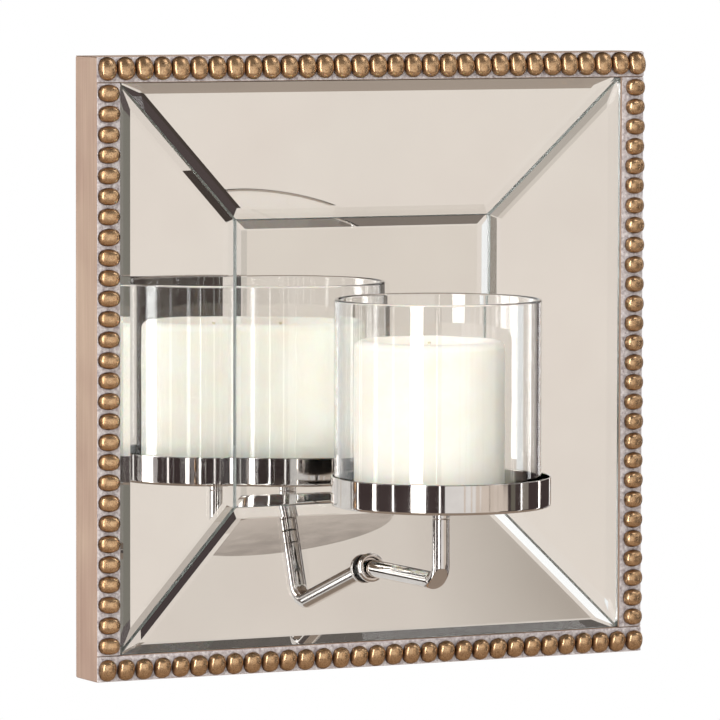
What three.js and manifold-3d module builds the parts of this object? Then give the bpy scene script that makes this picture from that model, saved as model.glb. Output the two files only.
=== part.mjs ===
// A wall sconce: a shallow tray of five bevelled mirrors in a square beaded frame, with a bent arm
// that carries a round dish, a glass hurricane and a pillar candle.
//
// Millimetres, +Z up, +X to the right of someone facing it. The wall is the plane y = 0, the front
// faces -Y, and the origin is the centre of the frame's back.
import * as THREE from "three";
import { ConvexGeometry } from "three/addons/geometries/ConvexGeometry.js";
import { mergeVertices } from "three/addons/utils/BufferGeometryUtils.js";
import Module from "manifold-3d";

const wasm = await Module();
wasm.setup();

// ---- driving dimensions ----
const GAP = 0.3; // air between touching pieces
const HALF = 152.5; // half the frame's side
const RAIL_WIDTH = 12.8;
const RAIL_DEPTH = 23.7;
const MITRE_GAP = GAP / Math.SQRT2; // along each rail's length
const REBATE_WIDTH = 6; // step in the rail's back that the board drops into
const REBATE_DEPTH = 9.2;

const GROUND_THICKNESS = 0.8; // strip under the beads
const BEAD_RISE = 4.5;
const BEAD_WIDTH = 11.5; // across the rail
const BEAD_LENGTH = 8.9; // along the rail
const BEADS_LONG_ROW = 31; // top and bottom rows, corner to corner
const BEADS_SHORT_ROW = 28; // side rows, between them
const BEAD_SIDES = 8;

const MIRROR_THICKNESS = 4;
const MIRROR_EDGE = 2.9; // glass left at the foot of the bevel
const BEVEL_WIDTH = 5.2;
const CENTRE_HALF = 70.9; // centre mirror's half side
const CENTRE_FRONT = -13.2; // depth of the centre mirror's face
const TRAY_TILT = Math.atan(11.4 / 68.5); // slope of the four side mirrors

const BOARD_FRONT = -8.9;
const BOARD_THICKNESS = 3;
const RAMP_INNER = 80; // the wedge's thin edge, from the centre

const ARM_HEIGHT = -103.5; // the arm's level run
const ARM_RADIUS = 4.35;
const ARM_BEND = 9;
const ARM_SIDES = 7; // half the rod's flats
const ARM_STEPS = 32;
const STUD_RADIUS = 3; // threaded end behind the mirror
const ESCUTCHEON_RADIUS = 7.3;
const ESCUTCHEON_BORE = 5.2;
const ESCUTCHEON_HEIGHT = 3;
const ESCUTCHEON_FLOOR = 0.8;

const DISH_Y = -94.2; // the dish's axis in front of the wall
const DISH_RADIUS = 53.8;
const DISH_WALL = 0.9;
const DISH_FLOOR = 1.5;
const DISH_TOP = -51.3;
const DISH_BOTTOM = -66;
const COUPLING_LENGTH = 5.8;

const GLASS_RADIUS = 50.6;
const GLASS_WALL = 2.2;
const GLASS_TOP = 35;
const GLASS_SHIFT = [-1.5, 0.8]; // stands a little off the dish's centre
const CANDLE_RADIUS = 36.85;
const CANDLE_HEIGHT = 79;
const CANDLE_SHOULDER = 4; // rounded top edge
const CANDLE_SHIFT = [-5.4, 2.4];
const WICK_RADIUS = 0.8;
const CANDLE_LIP = 3; // flat rim between the shoulder and the hollow
const CANDLE_HOLLOW = 5; // depth of the hollow round the wick
const WICK_RISE = 4.2; // above the floor of the hollow, so it stands below the rim
const ROUND_SIDES = 48;

const STRAP_LENGTH = 22; // ring hanger, from its hinge outwards
const STRAP_WIDTH = 10;
const STRAP_THICKNESS = 1;
const RING_WIRE = 1; // radius
const RING_HALF = 6.5;
const RING_REACH = 15; // control length of the D's bow
const BARREL_RADIUS = 2.2;
const BARREL_LENGTH = 8;
const HANGER_X = 100; // hinge from the centre line
const HANGER_Z = 75;
const SCREW_SIDES = 12;

// ---- worked-out places ----
const RAIL_INNER = HALF - RAIL_WIDTH;
const MIRROR_OUTER = RAIL_INNER - GAP;
const MIRROR_INNER = CENTRE_HALF + GAP;
const BOARD_BACK = BOARD_FRONT + BOARD_THICKNESS;
const BOARD_HALF = RAIL_INNER + REBATE_WIDTH - GAP;
const RAMP_BACK = BOARD_FRONT - GAP;
const GROUND_BACK = -RAIL_DEPTH - GAP;
const GROUND_FRONT = GROUND_BACK - GROUND_THICKNESS;
const FLOOR_TOP = DISH_BOTTOM + DISH_FLOOR;
const COUPLING_TOP = DISH_BOTTOM - GAP;
const ARM_TOP = COUPLING_TOP - COUPLING_LENGTH - GAP;
const RAMP_SCREW_X = 45;
const RAMP_SCREW_Z = 115;
const STRAP_SCREWS = [5.5, 17]; // from the hinge
const HINGE_Y = BOARD_BACK + GAP + BARREL_RADIUS;

// Depth of a side mirror's plane at a height z from the centre, sunk by a thickness.
const slopeY = (z, sunk) =>
  CENTRE_FRONT - (z - CENTRE_HALF) * Math.tan(TRAY_TILT) + sunk / Math.cos(TRAY_TILT);

// ---- materials ----
const material = (color, roughness, metalness, extra = {}) =>
  new THREE.MeshStandardMaterial({ color, roughness, metalness, ...extra });
const champagne = material(0xbf9f8a, 0.5, 0.4);
const gildedBead = material(0xa8843f, 0.35, 0.9);
const mirrorGlass = material(0xdcd8d2, 0.03, 1);
const fibreboard = material(0x9a7a58, 0.85, 0);
const hardboard = material(0x6b4a32, 0.8, 0);
const chrome = material(0xd8d8da, 0.06, 1);
const clearGlass = material(0xf4f8f7, 0.02, 0, { transparent: true, opacity: 0.3 });
const wax = material(0xf5eee2, 0.55, 0);
const cotton = material(0xe9dfca, 0.9, 0);
const zinc = material(0xa9adb0, 0.4, 0.9);

// ---- shape helpers ----
// A closed geometry as a solid that can be cut and joined.
function solid(geometry) {
  const bare = geometry.clone();
  bare.deleteAttribute("normal");
  bare.deleteAttribute("uv");
  const merged = mergeVertices(bare, 1e-4);
  return new wasm.Manifold(
    new wasm.Mesh({
      numProp: 3,
      vertProperties: new Float32Array(merged.attributes.position.array),
      triVerts: new Uint32Array(merged.index.array),
    }),
  );
}

// A cut or joined solid as a geometry again.
function geometryOf(made) {
  const { vertProperties, triVerts } = made.getMesh();
  const geometry = new THREE.BufferGeometry();
  geometry.setAttribute("position", new THREE.BufferAttribute(vertProperties, 3));
  geometry.setIndex(new THREE.BufferAttribute(triVerts, 1));
  const flat = geometry.toNonIndexed();
  flat.computeVertexNormals();
  return flat;
}

function piece(name, geometry, look) {
  const mesh = new THREE.Mesh(geometry, look.clone());
  mesh.name = name;
  return mesh;
}

const box = (size, centre) => new THREE.BoxGeometry(...size).translate(...centre);

// An outline in x and z, with round holes [x, z, radius], as a plate from back to front.
function plate(outline, back, front, holes = []) {
  const shape = new THREE.Shape(outline.map(([x, z]) => new THREE.Vector2(x, z)));
  for (const [x, z, radius] of holes) {
    shape.holes.push(new THREE.Path().absarc(x, z, radius, 0, 2 * Math.PI, true));
  }
  const options = { depth: back - front, bevelEnabled: false, curveSegments: SCREW_SIDES / 2 };
  return new THREE.ExtrudeGeometry(shape, options).rotateX(Math.PI / 2).translate(0, back, 0);
}

// A cylinder along y.
const pinAlongY = (radius, back, front, x, z, sides = 2 * SCREW_SIDES) =>
  new THREE.CylinderGeometry(radius, radius, back - front, sides).translate(x, (back + front) / 2, z);

// A profile of [radius, height] points turned about the vertical.
const turned = (profile, sides) =>
  new THREE.LatheGeometry(profile.map(([r, h]) => new THREE.Vector2(r, h)), sides);

// A turned piece stands along z.
const upright = (profile, sides) => turned(profile, sides).rotateX(Math.PI / 2);

// A profile that closes on itself.
const ring = (profile) => [...profile, profile[0]];

// Round wire or rod of a radius along a path.
function rod(path, radius, steps, halfSides) {
  const section = new THREE.Shape().absarc(0, 0, radius, 0, 2 * Math.PI, false);
  return new THREE.ExtrudeGeometry(section, { extrudePath: path, steps, curveSegments: halfSides });
}

// The four outline corners of a mitred strip between two heights from the centre.
const mitred = (inner, outer) => [
  [-(inner - MITRE_GAP), inner],
  [inner - MITRE_GAP, inner],
  [outer - MITRE_GAP, outer],
  [-(outer - MITRE_GAP), outer],
];

// ---- frame ----
// Corner nail: a thin V across the mitre, driven in from the back.
const NAIL_LEG = 4.2;
const NAIL_SHEET = 0.5;
const NAIL_DEPTH = 8;
const NAIL_FROM_EDGE = 3.2;
const NAIL_BACK = -GAP;
function nailOutline(spread) {
  const corner = HALF - NAIL_FROM_EDGE;
  const tip = spread * Math.SQRT2;
  const leg = NAIL_LEG + spread;
  const sheet = NAIL_SHEET + spread;
  return [
    [corner + tip, corner + tip],
    [corner - leg, corner + spread],
    [corner - leg, corner - sheet],
    [corner - sheet, corner - sheet],
    [corner - sheet, corner - leg],
    [corner + spread, corner - leg],
  ];
}
const cornerNail = () => plate(nailOutline(0), NAIL_BACK, NAIL_BACK - NAIL_DEPTH);

// Glazing point: a flat arrowhead pressed into the rebate's wall, over the board.
const POINT_THICKNESS = 0.8;
const POINT_X = 95;
const POINT_BACK = BOARD_BACK + GAP + POINT_THICKNESS;
const POINT_INNER = BOARD_HALF - 6;
const POINT_BITE = 3.4;
const POINT_HALF = 3.5;
const glazingPoint = () =>
  plate(
    [
      [-POINT_HALF, POINT_INNER],
      [POINT_HALF, POINT_INNER],
      [POINT_HALF, BOARD_HALF],
      [0, BOARD_HALF + POINT_BITE],
      [-POINT_HALF, BOARD_HALF],
    ],
    POINT_BACK,
    POINT_BACK - POINT_THICKNESS,
  );

// A rail: mitred bar with a rebate along its inner back edge, slotted for nails and points.
function rail() {
  const reach = 2 * HALF + GAP;
  const rebate = box(
    [reach, REBATE_DEPTH + GAP, REBATE_WIDTH + GAP],
    [0, (GAP - REBATE_DEPTH) / 2, RAIL_INNER + (REBATE_WIDTH - GAP) / 2],
  );
  let made = solid(plate(mitred(RAIL_INNER, HALF), 0, -RAIL_DEPTH)).subtract(solid(rebate));
  const slot = plate(nailOutline(GAP), GAP, NAIL_BACK - NAIL_DEPTH - GAP);
  made = made.subtract(solid(slot)).subtract(solid(slot.clone().rotateY(-Math.PI / 2)));
  const pocketTop = BOARD_HALF + POINT_BITE + GAP;
  for (const x of [-POINT_X, POINT_X]) {
    const pocket = box(
      [2 * (POINT_HALF + GAP), POINT_THICKNESS + 2 * GAP, pocketTop - BOARD_HALF],
      [x, POINT_BACK - POINT_THICKNESS / 2, (pocketTop + BOARD_HALF) / 2],
    );
    made = made.subtract(solid(pocket));
  }
  return geometryOf(made);
}

// One bead: a low dome whose foot is sunk into the ground strip.
function bead() {
  const foot = -GROUND_THICKNESS / 2;
  const dome = [
    [0, foot],
    [1, foot],
    [0.93, BEAD_RISE * 0.4],
    [0.62, BEAD_RISE * 0.82],
    [0, BEAD_RISE],
  ];
  return turned(dome, BEAD_SIDES)
    .rotateX(Math.PI)
    .rotateY(Math.PI / BEAD_SIDES)
    .scale(BEAD_LENGTH / 2, 1, BEAD_WIDTH / 2);
}

// Beads on their strip: a row of a count over a length, centred on the rail's face.
function beadRow(count, length) {
  const pitch = length / count;
  const across = RAIL_WIDTH - 2 * GAP;
  const middle = HALF - RAIL_WIDTH / 2;
  let made = solid(
    box(
      [length - GAP, GROUND_THICKNESS, across],
      [0, GROUND_BACK - GROUND_THICKNESS / 2, middle],
    ),
  );
  for (let i = 0; i < count; i++) {
    const x = (i + 0.5) * pitch - length / 2;
    made = made.add(solid(bead().translate(x, GROUND_FRONT, middle)));
  }
  return geometryOf(made);
}

// ---- mirrors and what backs them ----
const squareRing = (half, y) => [
  new THREE.Vector3(-half, y, -half),
  new THREE.Vector3(half, y, -half),
  new THREE.Vector3(half, y, half),
  new THREE.Vector3(-half, y, half),
];

function centreMirror() {
  const foot = CENTRE_FRONT + MIRROR_THICKNESS - MIRROR_EDGE;
  return new ConvexGeometry([
    ...squareRing(CENTRE_HALF - BEVEL_WIDTH, CENTRE_FRONT),
    ...squareRing(CENTRE_HALF, foot),
    ...squareRing(CENTRE_HALF, CENTRE_FRONT + MIRROR_THICKNESS),
  ]);
}

// Corners of a mitred outline on the side mirrors' slope, sunk by a thickness and drawn in.
function slopeRing(inner, outer, sunk, inset) {
  const [low, high] = [inner + inset, outer - inset];
  const pull = MITRE_GAP + inset * Math.SQRT2;
  return [
    new THREE.Vector3(-(low - pull), slopeY(low, sunk), low),
    new THREE.Vector3(low - pull, slopeY(low, sunk), low),
    new THREE.Vector3(high - pull, slopeY(high, sunk), high),
    new THREE.Vector3(-(high - pull), slopeY(high, sunk), high),
  ];
}

const sideMirror = () =>
  new ConvexGeometry([
    ...slopeRing(MIRROR_INNER, MIRROR_OUTER, 0, BEVEL_WIDTH),
    ...slopeRing(MIRROR_INNER, MIRROR_OUTER, MIRROR_THICKNESS - MIRROR_EDGE, 0),
    ...slopeRing(MIRROR_INNER, MIRROR_OUTER, MIRROR_THICKNESS, 0),
  ]);

// Wedge behind a side mirror, drilled from the back for its own two screws and a hanger's.
const RAMP_SCREW_TIP = RAMP_BACK - 5.5;
const HANGER_SCREW_TIP = RAMP_BACK - 2;
const SCREW_RADIUS = 1.5;
const SCREW_HOLE = SCREW_RADIUS + GAP;
function ramp(hangerHoles) {
  const face = slopeRing(RAMP_INNER, MIRROR_OUTER, MIRROR_THICKNESS + GAP, 0);
  const back = mitred(RAMP_INNER, MIRROR_OUTER).map(([x, z]) => new THREE.Vector3(x, RAMP_BACK, z));
  let made = solid(new ConvexGeometry([...face, ...back]));
  const holes = [-RAMP_SCREW_X, RAMP_SCREW_X].map((x) => [x, RAMP_SCREW_Z, RAMP_SCREW_TIP]);
  for (const [x, z, tip] of [...holes, ...hangerHoles]) {
    made = made.subtract(solid(pinAlongY(SCREW_HOLE, RAMP_BACK + GAP, tip - GAP, x, z, SCREW_SIDES)));
  }
  return geometryOf(made);
}

// The same piece with a level hole where the arm's threaded end goes through.
function drilledForArm(geometry) {
  const hole = pinAlongY(STUD_RADIUS + GAP, GAP, -2 * RAIL_DEPTH, 0, -ARM_HEIGHT);
  return geometryOf(solid(geometry).subtract(solid(hole)));
}

// A pan-head screw that enters towards -Y, its head resting at a depth.
function screw(headRadius, headHeight, seat, tip) {
  const profile = [
    [0, tip],
    [SCREW_RADIUS, tip + 2 * SCREW_RADIUS],
    [SCREW_RADIUS, seat],
    [headRadius, seat],
    [headRadius, seat + headHeight / 2],
    [headRadius * 0.7, seat + headHeight],
    [0, seat + headHeight],
  ];
  return turned(profile, SCREW_SIDES);
}

// Hardboard back, drilled for the arm, the wedges' screws and the hangers' screws.
function backBoard() {
  const holes = [[0, ARM_HEIGHT, STUD_RADIUS + GAP]];
  for (const a of [-RAMP_SCREW_X, RAMP_SCREW_X]) {
    for (const b of [-RAMP_SCREW_Z, RAMP_SCREW_Z]) {
      holes.push([a, b, SCREW_HOLE], [b, a, SCREW_HOLE]);
    }
  }
  for (const side of [-1, 1]) {
    for (const along of STRAP_SCREWS) {
      holes.push([side * (HANGER_X + along), HANGER_Z, SCREW_HOLE]);
    }
  }
  const corners = [[-1, -1], [1, -1], [1, 1], [-1, 1]].map(([x, z]) => [x * BOARD_HALF, z * BOARD_HALF]);
  return plate(corners, BOARD_BACK, BOARD_FRONT, holes);
}

// ---- arm ----
// Depth of the lower mirror's face where the arm comes out of it.
const ARM_ROOT = slopeY(-ARM_HEIGHT, 0);
const SPIGOT_RADIUS = 2.4;
const SPIGOT_LENGTH = 3;

// Bent rod: level run out of the mirror, bend, and upright with a spigot for the coupling.
function arm() {
  const start = new THREE.Vector3(0, ARM_ROOT - ESCUTCHEON_FLOOR - 4 * GAP, ARM_HEIGHT);
  const bendIn = new THREE.Vector3(0, DISH_Y + ARM_BEND, ARM_HEIGHT);
  const corner = new THREE.Vector3(0, DISH_Y, ARM_HEIGHT);
  const bendOut = new THREE.Vector3(0, DISH_Y, ARM_HEIGHT + ARM_BEND);
  const path = new THREE.CurvePath();
  path.add(new THREE.LineCurve3(start, bendIn));
  path.add(
    new THREE.CubicBezierCurve3(
      bendIn,
      bendIn.clone().lerp(corner, 0.55),
      bendOut.clone().lerp(corner, 0.55),
      bendOut,
    ),
  );
  path.add(new THREE.LineCurve3(bendOut, new THREE.Vector3(0, DISH_Y, ARM_TOP)));
  const stud = pinAlongY(STUD_RADIUS, -GAP, start.y - 1, 0, ARM_HEIGHT);
  const spigotFoot = ARM_TOP - 1;
  const spigot = new THREE.CylinderGeometry(
    SPIGOT_RADIUS,
    SPIGOT_RADIUS,
    SPIGOT_LENGTH + 1,
    2 * SCREW_SIDES,
  )
    .rotateX(Math.PI / 2)
    .translate(0, DISH_Y, spigotFoot + (SPIGOT_LENGTH + 1) / 2);
  return geometryOf(solid(rod(path, ARM_RADIUS, ARM_STEPS, ARM_SIDES)).add(solid(stud)).add(solid(spigot)));
}

// Cup-shaped collar on the mirror round the arm's root; its own axis is +Y until it is placed.
function escutcheon() {
  const height = ESCUTCHEON_HEIGHT;
  const profile = [
    [STUD_RADIUS + 2 * GAP, -ESCUTCHEON_FLOOR],
    [ESCUTCHEON_BORE, -ESCUTCHEON_FLOOR],
    [ESCUTCHEON_BORE, -height],
    [ESCUTCHEON_RADIUS - 1.2, -height],
    [ESCUTCHEON_RADIUS - 0.35, -height + 0.35],
    [ESCUTCHEON_RADIUS, -height + 1.2],
    [ESCUTCHEON_RADIUS, 0],
    [STUD_RADIUS + 2 * GAP, 0],
  ];
  return turned(ring(profile), 32);
}

const WASHER_RADIUS = 9;
const WASHER_THICKNESS = 1;
const NUT_RADIUS = 5.8;
const NUT_THICKNESS = 3.2;
const WASHER_BACK = BOARD_BACK + GAP + WASHER_THICKNESS;
const armWasher = () =>
  turned(
    ring([
      [STUD_RADIUS + GAP, WASHER_BACK - WASHER_THICKNESS],
      [WASHER_RADIUS, WASHER_BACK - WASHER_THICKNESS],
      [WASHER_RADIUS, WASHER_BACK],
      [STUD_RADIUS + GAP, WASHER_BACK],
    ]),
    2 * SCREW_SIDES,
  ).translate(0, 0, ARM_HEIGHT);

function armNut() {
  const front = WASHER_BACK + GAP;
  const hexagon = new THREE.CylinderGeometry(NUT_RADIUS, NUT_RADIUS, NUT_THICKNESS, 6);
  hexagon.translate(0, front + NUT_THICKNESS / 2, ARM_HEIGHT);
  const bore = pinAlongY(STUD_RADIUS + GAP, front + 2 * NUT_THICKNESS, front - GAP, 0, ARM_HEIGHT);
  return geometryOf(solid(hexagon).subtract(solid(bore)));
}

// ---- dish, glass and candle, turned about their own upright axes ----
const DISH_SCREW_RADIUS = 1.9;
const DISH_SCREW_HEAD = 3.9;
function dish() {
  const inner = DISH_RADIUS - DISH_WALL;
  const round = 1.6; // pressed bottom edge
  const profile = [
    [DISH_SCREW_RADIUS + GAP, DISH_BOTTOM],
    [DISH_RADIUS - round, DISH_BOTTOM],
    [DISH_RADIUS - round * 0.3, DISH_BOTTOM + round * 0.3],
    [DISH_RADIUS, DISH_BOTTOM + round],
    [DISH_RADIUS, DISH_TOP],
    [inner, DISH_TOP],
    [inner, FLOOR_TOP + DISH_WALL],
    [inner - DISH_WALL, FLOOR_TOP],
    [DISH_SCREW_HEAD + 2 * GAP, FLOOR_TOP],
  ];
  return upright(ring(profile), ROUND_SIDES);
}

function dishScrew() {
  const top = FLOOR_TOP - GAP / 2;
  const profile = [
    [0, COUPLING_TOP - 2],
    [DISH_SCREW_RADIUS, COUPLING_TOP - 2],
    [DISH_SCREW_RADIUS, DISH_BOTTOM],
    [DISH_SCREW_HEAD, top - 0.1],
    [DISH_SCREW_HEAD, top],
    [0, top],
  ];
  return upright(profile, 2 * SCREW_SIDES);
}

// Short sleeve between the dish and the arm: screwed to the dish, turning on the arm's spigot.
function dishCoupling() {
  const foot = COUPLING_TOP - COUPLING_LENGTH;
  const shoulder = COUPLING_TOP - 2.3;
  const profile = [
    [SPIGOT_RADIUS + GAP, foot],
    [ARM_RADIUS, foot],
    [ARM_RADIUS, COUPLING_TOP],
    [DISH_SCREW_RADIUS + GAP, COUPLING_TOP],
    [DISH_SCREW_RADIUS + GAP, shoulder],
    [SPIGOT_RADIUS + GAP, shoulder],
  ];
  return upright(ring(profile), 2 * SCREW_SIDES);
}

function hurricaneGlass() {
  const foot = FLOOR_TOP + GAP;
  const inner = GLASS_RADIUS - GLASS_WALL;
  const soft = 0.7; // fire-polished rim
  const profile = [
    [inner, foot],
    [GLASS_RADIUS, foot],
    [GLASS_RADIUS, GLASS_TOP - soft],
    [GLASS_RADIUS - soft, GLASS_TOP],
    [inner + soft, GLASS_TOP],
    [inner, GLASS_TOP - soft],
  ];
  return upright(ring(profile), ROUND_SIDES);
}

const CANDLE_FOOT = FLOOR_TOP + GAP;
const CANDLE_TOP = CANDLE_FOOT + CANDLE_HEIGHT;
function candle() {
  const hole = WICK_RADIUS + GAP;
  const soft = CANDLE_SHOULDER;
  const profile = [
    [hole, CANDLE_FOOT],
    [CANDLE_RADIUS, CANDLE_FOOT],
    [CANDLE_RADIUS, CANDLE_TOP - soft],
    [CANDLE_RADIUS - soft * 0.3, CANDLE_TOP - soft * 0.3],
    [CANDLE_RADIUS - soft, CANDLE_TOP],
    [CANDLE_RADIUS - soft - CANDLE_LIP, CANDLE_TOP],
    [CANDLE_RADIUS - soft - CANDLE_LIP - CANDLE_HOLLOW, CANDLE_TOP - CANDLE_HOLLOW],
    [hole, CANDLE_TOP - CANDLE_HOLLOW],
  ];
  return upright(ring(profile), ROUND_SIDES);
}

const wick = () =>
  upright(
    [
      [0, CANDLE_FOOT + GAP],
      [WICK_RADIUS, CANDLE_FOOT + GAP],
      [WICK_RADIUS, CANDLE_TOP - CANDLE_HOLLOW + WICK_RISE],
      [0, CANDLE_TOP - CANDLE_HOLLOW + WICK_RISE],
    ],
    SCREW_SIDES,
  );

// ---- ring hangers, drawn with the hinge on the z axis and the strap towards +X ----
function hangerStrap() {
  const strapFront = BOARD_BACK + GAP;
  const outline = [
    [0, -STRAP_WIDTH / 2 + 1],
    [STRAP_LENGTH - 2, -STRAP_WIDTH / 2],
    [STRAP_LENGTH, 0],
    [STRAP_LENGTH - 2, STRAP_WIDTH / 2],
    [0, STRAP_WIDTH / 2 - 1],
  ];
  const holes = STRAP_SCREWS.map((x) => [x, 0, SCREW_HOLE]);
  const strip = plate(outline, strapFront + STRAP_THICKNESS, strapFront, holes);
  const barrel = new THREE.CylinderGeometry(BARREL_RADIUS, BARREL_RADIUS, BARREL_LENGTH, 16)
    .rotateX(Math.PI / 2)
    .translate(0, HINGE_Y, 0);
  const bore = new THREE.CylinderGeometry(RING_WIRE + GAP, RING_WIRE + GAP, 2 * STRAP_WIDTH, 16)
    .rotateX(Math.PI / 2)
    .translate(0, HINGE_Y, 0);
  return geometryOf(solid(strip).add(solid(barrel)).subtract(solid(bore)));
}

function hangerRing() {
  const ends = [-RING_HALF, RING_HALF].map((z) => new THREE.Vector3(0, HINGE_Y, z));
  const pulls = ends.map((end) => end.clone().setX(-RING_REACH));
  const bow = rod(new THREE.CubicBezierCurve3(ends[0], pulls[0], pulls[1], ends[1]), RING_WIRE, 16, 5);
  const leg = new THREE.CylinderGeometry(RING_WIRE, RING_WIRE, 2 * (RING_HALF + RING_WIRE * 0.8), 10)
    .rotateX(Math.PI / 2)
    .translate(0, HINGE_Y, 0);
  return geometryOf(solid(bow).add(solid(leg)));
}

// ---- assembly ----
const sconce = new THREE.Group();

// One side of the tray: everything is drawn for the top and turned about the wall's normal.
function addSide(name, quarterTurns) {
  const side = new THREE.Group();
  side.rotation.y = (quarterTurns * Math.PI) / 2;
  const level = quarterTurns % 2 === 0;
  const row = level ? beadRow(BEADS_LONG_ROW, 2 * HALF) : beadRow(BEADS_SHORT_ROW, 2 * RAIL_INNER);
  const finish = name === "bottom" ? drilledForArm : (geometry) => geometry;
  side.add(piece("frame_rail_" + name, rail(), champagne));
  side.add(piece("bead_row_" + name, row, gildedBead));
  side.add(piece("mirror_" + name, finish(sideMirror()), mirrorGlass));
  const hangerX = { left: HANGER_Z, right: -HANGER_Z }[name];
  const hangerHoles = level ? [] : STRAP_SCREWS.map((along) => [hangerX, HANGER_X + along, HANGER_SCREW_TIP]);
  side.add(piece("mirror_wedge_" + name, finish(ramp(hangerHoles)), fibreboard));
  side.add(piece("corner_nail_" + name, cornerNail(), zinc));
  for (const [label, sign] of [["a", -1], ["b", 1]]) {
    const wedgeScrew = piece(
      "wedge_screw_" + name + "_" + label,
      screw(3.2, 2, BOARD_BACK + GAP, RAMP_SCREW_TIP),
      zinc,
    );
    wedgeScrew.position.set(sign * RAMP_SCREW_X, 0, RAMP_SCREW_Z);
    const point = piece("glazing_point_" + name + "_" + label, glazingPoint(), zinc);
    point.position.x = sign * POINT_X;
    side.add(wedgeScrew, point);
  }
  sconce.add(side);
}
["top", "right", "bottom", "left"].forEach(addSide);

sconce.add(piece("mirror_centre", centreMirror(), mirrorGlass));
sconce.add(piece("back_board", backBoard(), hardboard));

sconce.add(piece("arm", arm(), chrome));
const collar = piece("arm_escutcheon", escutcheon(), chrome);
collar.rotation.x = -TRAY_TILT;
collar.position.set(0, ARM_ROOT - GAP, ARM_HEIGHT);
sconce.add(collar, piece("arm_washer", armWasher(), zinc), piece("arm_nut", armNut(), zinc));

// Everything the arm's spigot carries.
const carried = new THREE.Group();
carried.position.y = DISH_Y;
carried.add(piece("candle_dish", dish(), chrome));
carried.add(piece("dish_coupling", dishCoupling(), chrome));
carried.add(piece("dish_screw", dishScrew(), zinc));
const hurricane = piece("hurricane_glass", hurricaneGlass(), clearGlass);
hurricane.position.set(GLASS_SHIFT[0], GLASS_SHIFT[1], 0);
const pillar = new THREE.Group();
pillar.position.set(CANDLE_SHIFT[0], CANDLE_SHIFT[1], 0);
pillar.add(piece("pillar_candle", candle(), wax), piece("candle_wick", wick(), cotton));
carried.add(hurricane, pillar);
sconce.add(carried);

// A ring hanger on each side of the back; the left one is the right one turned over.
for (const [name, side] of [["right", 1], ["left", -1]]) {
  const hanger = new THREE.Group();
  hanger.position.set(side * HANGER_X, 0, HANGER_Z);
  const strap = piece("hanger_strap_" + name, hangerStrap(), zinc);
  const loop = piece("hanger_ring_" + name, hangerRing(), zinc);
  for (const part of [strap, loop]) {
    part.scale.x = side;
    hanger.add(part);
  }
  STRAP_SCREWS.forEach((along, i) => {
    const seat = BOARD_BACK + 2 * GAP + STRAP_THICKNESS;
    const fixing = piece("hanger_screw_" + name + "_" + "ab"[i], screw(2.4, 1.2, seat, HANGER_SCREW_TIP), zinc);
    fixing.position.x = side * along;
    hanger.add(fixing);
  });
  sconce.add(hanger);
}

export default sconce;
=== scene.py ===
"""The wall sconce's looks: gilded beads, bevelled mirrors, chrome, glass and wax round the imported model.

Metres, +Z up, the wall is the plane y = 0 and the front faces -Y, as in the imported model.
"""
import math
import random

import bpy
from mathutils import Matrix, Vector


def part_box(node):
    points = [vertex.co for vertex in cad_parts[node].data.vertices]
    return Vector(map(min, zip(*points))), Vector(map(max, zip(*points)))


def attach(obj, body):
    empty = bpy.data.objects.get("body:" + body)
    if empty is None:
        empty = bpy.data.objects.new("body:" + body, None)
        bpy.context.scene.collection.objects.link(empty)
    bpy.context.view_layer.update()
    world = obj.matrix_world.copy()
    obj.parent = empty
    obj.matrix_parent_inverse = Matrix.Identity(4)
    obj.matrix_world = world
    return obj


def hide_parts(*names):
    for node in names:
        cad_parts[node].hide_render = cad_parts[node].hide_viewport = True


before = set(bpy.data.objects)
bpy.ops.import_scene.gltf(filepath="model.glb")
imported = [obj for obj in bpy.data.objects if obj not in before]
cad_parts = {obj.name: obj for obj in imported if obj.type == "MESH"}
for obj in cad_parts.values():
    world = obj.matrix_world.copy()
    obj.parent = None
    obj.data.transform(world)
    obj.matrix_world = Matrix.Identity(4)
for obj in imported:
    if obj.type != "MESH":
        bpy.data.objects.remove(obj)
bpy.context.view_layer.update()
MM = 0.001
SIDES = ("top", "right", "bottom", "left")
LEVEL_SIDES = ("top", "bottom")
WELD, FINE_WELD = 0.005 * MM, 0.002 * MM


# ---- small tools ----
def linear(code):
    """A colour written as sRGB hex, turned to linear light."""
    parts = [int(code[i : i + 2], 16) / 255 for i in (0, 2, 4)]
    return [c / 12.92 if c <= 0.04045 else ((c + 0.055) / 1.055) ** 2.4 for c in parts] + [1.0]


def put(tree, kind, inputs=None, stops=(), **settings):
    """Adds a node with its settings. An input's value is a number, a colour or another node's output.

    An input is named, or numbered where two share a name."""
    made = tree.nodes.new("ShaderNode" + kind)
    for name, value in settings.items():
        setattr(made, name, value)
    for name, value in (inputs or {}).items():
        if isinstance(value, bpy.types.NodeSocket):
            tree.links.new(value, made.inputs[name])
        else:
            made.inputs[name].default_value = value
    for i, (place, colour) in enumerate(stops):
        marks = made.color_ramp.elements
        mark = marks[i] if i < 2 else marks.new(place)
        mark.position, mark.color = place, colour
    return made


def blank(name):
    """A new material with an empty node tree and its output node."""
    made = bpy.data.materials.new(name)
    made.use_nodes = True
    made.node_tree.nodes.clear()
    return made, made.node_tree, put(made.node_tree, "OutputMaterial")


def show(tree, output, shader):
    """Joins a shader to the material's output."""
    tree.links.new(shader, output.inputs["Surface"])


def edit(obj):
    """Only obj is active and in edit mode, with everything chosen."""
    bpy.ops.object.select_all(action="DESELECT")
    bpy.context.view_layer.objects.active = obj
    obj.select_set(True)
    bpy.ops.object.mode_set(mode="EDIT")
    bpy.ops.mesh.select_all(action="SELECT")


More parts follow.
